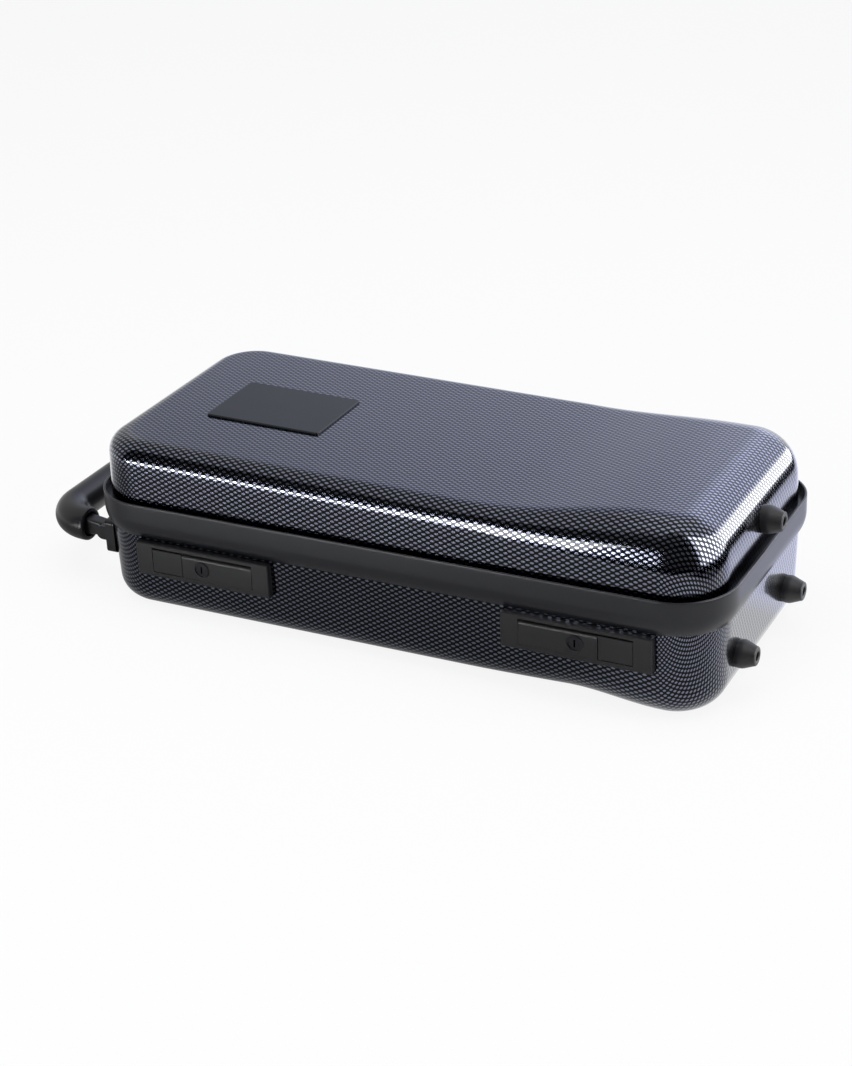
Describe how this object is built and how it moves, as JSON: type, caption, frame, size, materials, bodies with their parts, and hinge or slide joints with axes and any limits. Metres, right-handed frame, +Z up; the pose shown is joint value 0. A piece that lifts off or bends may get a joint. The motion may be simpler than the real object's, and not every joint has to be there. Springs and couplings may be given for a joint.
{
  "type": "clarinet case",
  "caption": "Hard clarinet case with a hinged lid, two lever latches, a swinging end handle, end feet and a fitted foam interior.",
  "frame": {"origin": "centre of the flat underside of the case", "axes": "+X along the case towards the bell end, -Y towards the latches, +Z up through the closed lid"},
  "size_m": [0.5137, 0.2156, 0.1307],
  "materials": {
    "carbon_shell": "gloss, carbon weave pattern",
    "band_plastic": "satin moulded",
    "latch_plastic": "satin moulded",
    "grip_plastic": "satin moulded",
    "black_metal": "satin black coat",
    "steel": "brushed",
    "foot_rubber": "semi-gloss",
    "seal_rubber": "matte",
    "badge_gloss": "gloss dark grey",
    "velvet": "short-pile velvet"
  },
  "bodies": {
    "base": {"base_shell": "carbon_shell", "rim_band": "band_plastic", "seal": "seal_rubber", "base_insert": "velvet", "latch_plate_left": "latch_plastic", "latch_plate_right": "latch_plastic", "lever_pin_left": "steel", "lever_pin_right": "steel", "button_spring_left": "steel", "button_spring_right": "steel", "latch_housing_left": "latch_plastic", "latch_housing_right": "latch_plastic", "latch_plate_screws": "steel", "hinge_base_leaf_left": "black_metal", "hinge_base_leaf_right": "black_metal", "hinge_pin_left": "steel", "hinge_pin_right": "steel", "hinge_base_screws": "steel", "handle_bracket_front": "black_metal", "handle_bracket_back": "black_metal", "handle_pin_front": "steel", "handle_pin_back": "steel", "handle_backing_front": "steel", "handle_backing_back": "steel", "handle_screws": "steel", "foot_base_front": "foot_rubber", "foot_base_back": "foot_rubber", "foot_base_screws": "steel"},
    "lid": {"lid_shell": "carbon_shell", "lid_rim": "band_plastic", "lid_pad": "velvet", "badge_plate": "badge_gloss", "latch_keeper_left": "steel", "latch_keeper_right": "steel", "keeper_screws": "steel", "hinge_lid_leaf_left": "black_metal", "hinge_lid_leaf_right": "black_metal", "hinge_lid_screws": "steel", "foot_lid": "foot_rubber", "foot_lid_screw": "steel"},
    "handle": {"handle_core": "black_metal", "handle_grip": "grip_plastic"},
    "lever_left": {"latch_lever_left": "latch_plastic", "latch_hook_left": "steel"},
    "barrel_left": {"lock_barrel_left": "black_metal"},
    "button_left": {"latch_button_left": "latch_plastic"},
    "lever_right": {"latch_lever_right": "latch_plastic", "latch_hook_right": "steel"},
    "barrel_right": {"lock_barrel_right": "black_metal"},
    "button_right": {"latch_button_right": "latch_plastic"}
  },
  "joints": [
    {"name": "lid_hinge", "type": "hinge", "parent": "base", "child": "lid", "pos_m": [0, 0.108, 0.085], "axis": [-1, 0, 0], "range_deg": [0, 100]},
    {"name": "handle_pivot", "type": "hinge", "parent": "base", "child": "handle", "pos_m": [-0.22798, 0, 0.0415], "axis": [0, 1, 0], "range_deg": [-55, 25]},
    {"name": "lever_pivot_left", "type": "hinge", "parent": "base", "child": "lever_left", "pos_m": [-0.1335, -0.0994, 0.04805], "axis": [-1, 0, 0], "range_deg": [0, 30]},
    {"name": "lock_turn_left", "type": "hinge", "parent": "lever_left", "child": "barrel_left", "pos_m": [-0.1335, -0.1032, 0.042], "axis": [0, 1, 0], "range_deg": [0, 90]},
    {"name": "button_push_left", "type": "slide", "parent": "base", "child": "button_left", "axis": [0, 1, 0], "range_m": [0, 0.001], "stiffness_N_per_m": 500, "springref_m": -0.003, "deforming": ["button_spring_left"]},
    {"name": "lever_pivot_right", "type": "hinge", "parent": "base", "child": "lever_right", "pos_m": [0.1335, -0.0994, 0.04805], "axis": [-1, 0, 0], "range_deg": [0, 30]},
    {"name": "lock_turn_right", "type": "hinge", "parent": "lever_right", "child": "barrel_right", "pos_m": [0.1335, -0.1032, 0.042], "axis": [0, 1, 0], "range_deg": [0, 90]},
    {"name": "button_push_right", "type": "slide", "parent": "base", "child": "button_right", "axis": [0, 1, 0], "range_m": [0, 0.001], "stiffness_N_per_m": 500, "springref_m": -0.003, "deforming": ["button_spring_right"]}
  ]
}
